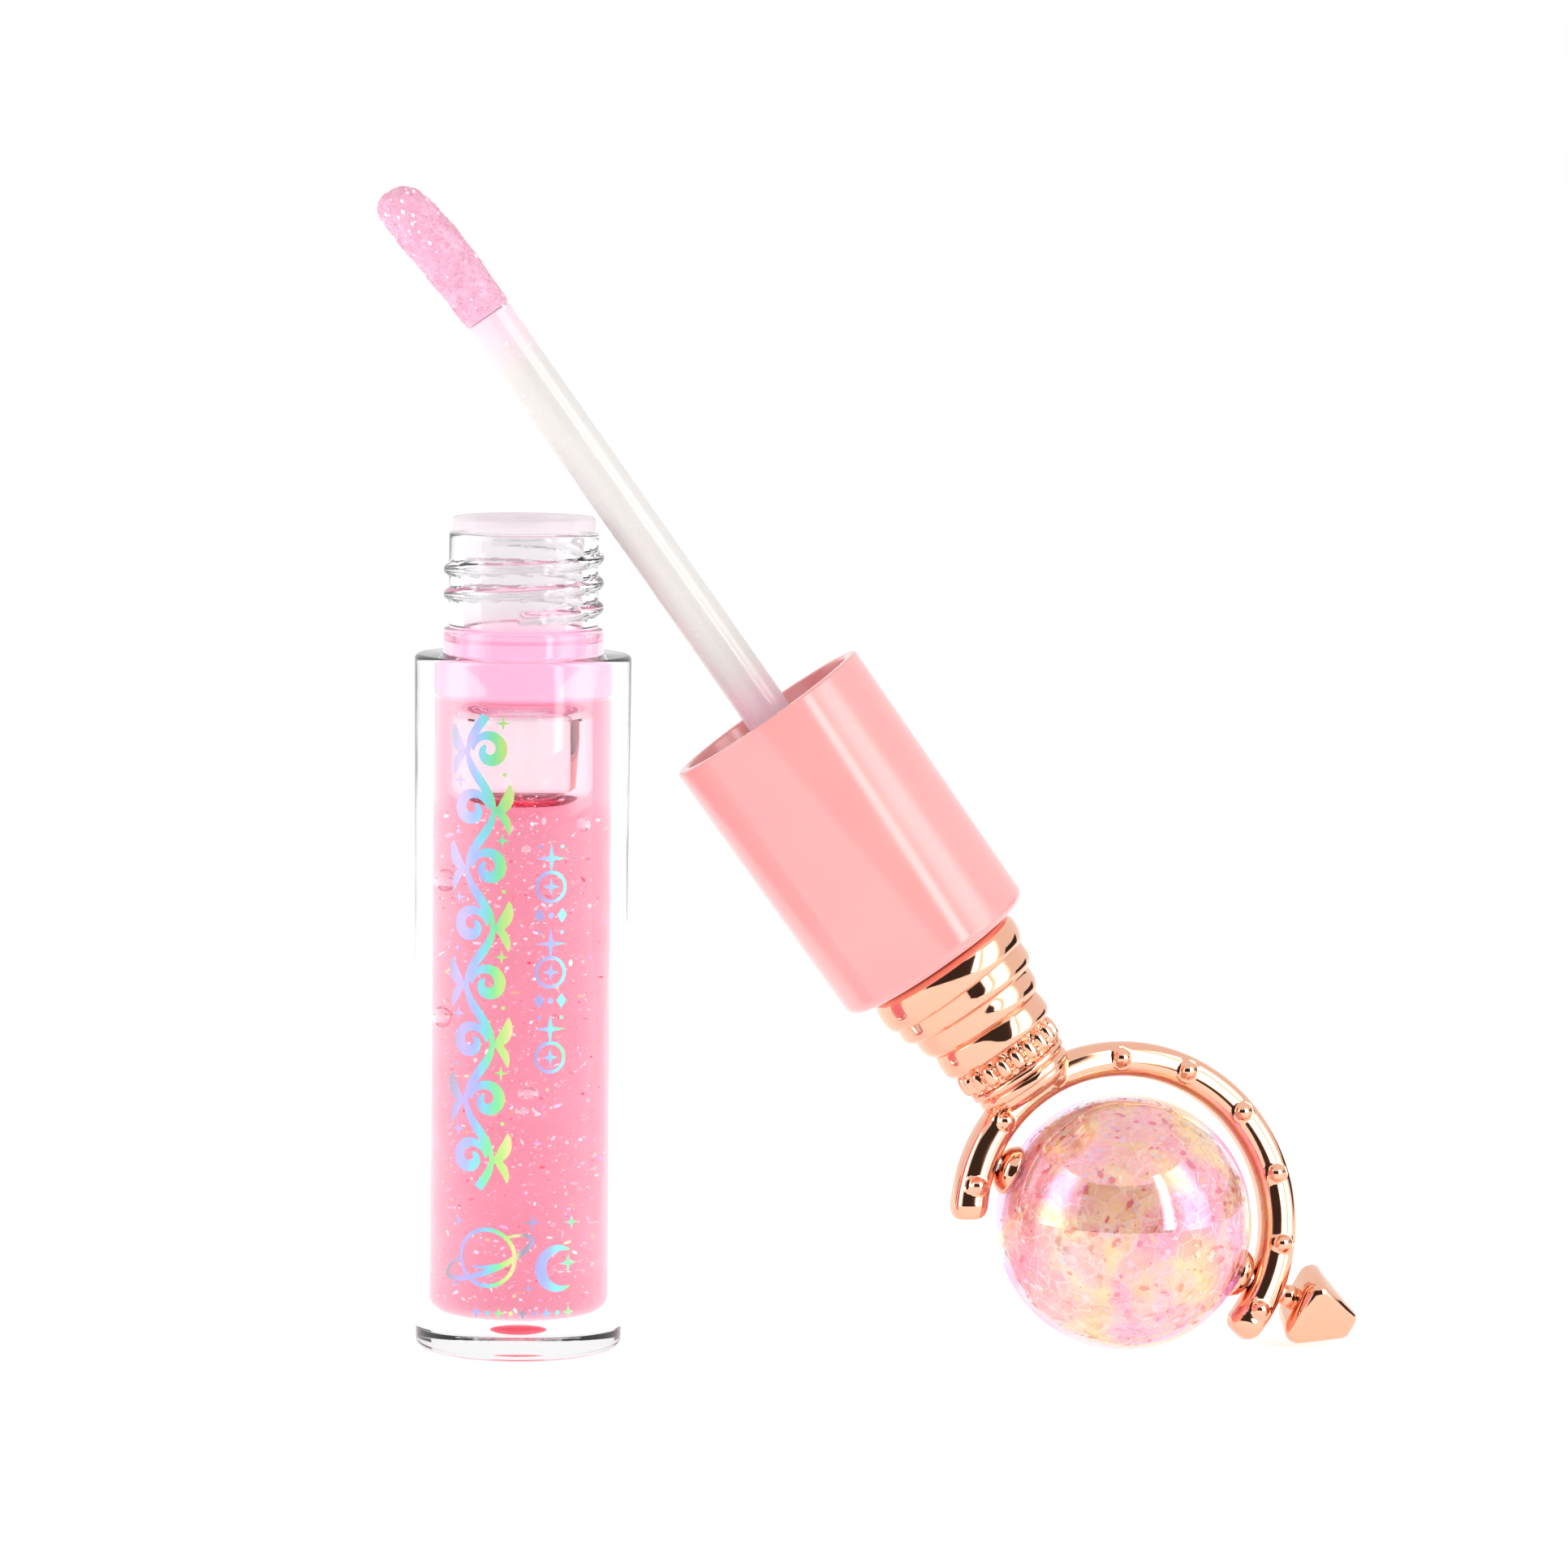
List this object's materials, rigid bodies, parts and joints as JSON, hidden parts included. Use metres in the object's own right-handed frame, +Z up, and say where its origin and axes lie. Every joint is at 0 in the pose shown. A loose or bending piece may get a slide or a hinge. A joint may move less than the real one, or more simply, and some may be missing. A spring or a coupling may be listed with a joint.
{
  "type": "lip gloss tube",
  "caption": "Clear round lip gloss bottle with wiper, and its closure leaning on it: wand with flocked tip, round cap and a globe ornament that turns in a metal arm.",
  "frame": {"origin": "centre of the bottle's base, on the surface it stands on", "axes": "+Z up along the bottle, +X towards the foot of the leaning closure, -Y towards the printed front"},
  "size_m": [0.0809, 0.0212, 0.0958],
  "materials": {
    "clear_bottle": "clear, polished, thick-walled injection-moulded plastic",
    "pink_gloss": "thick translucent pink gel with fine glitter",
    "milky_wiper": "soft milky polyethylene",
    "salmon_shell": "smooth glossy salmon pink",
    "white_liner": "plain white polypropylene",
    "white_stem": "translucent white, satin",
    "pink_flock": "short nylon flock",
    "rose_gold": "bright rose gold plating",
    "crackle_ball": "crackled clear pink resin with an iridescent coat",
    "steel_pin": "plain drawn steel"
  },
  "bodies": {
    "bottle": {"bottle": "clear_bottle", "gloss_fill": "pink_gloss", "wiper": "milky_wiper"},
    "closure": {"cap_shell": "salmon_shell", "inner_cap": "white_liner", "wand_stem": "white_stem", "flocked_tip": "pink_flock", "twisted_collar": "rose_gold", "gadroon_ring": "rose_gold", "meridian_arm": "rose_gold"},
    "globe": {"globe_ball": "crackle_ball", "axle_pin": "steel_pin", "bead_cap_upper": "rose_gold", "bead_cap_lower": "rose_gold", "turning_knob": "rose_gold"}
  },
  "joints": [
    {"name": "closure_turnover", "type": "hinge", "parent": "bottle", "child": "closure", "pos_m": [-0.00125, 0, 0.08536], "axis": [0, -1, 0], "range_deg": [0, 144.4]},
    {"name": "globe_spin", "type": "hinge", "parent": "closure", "child": "globe", "pos_m": [0.05055, 0, 0.01085], "axis": [0.8918, 0.1652, -0.4212], "continuous": true}
  ]
}
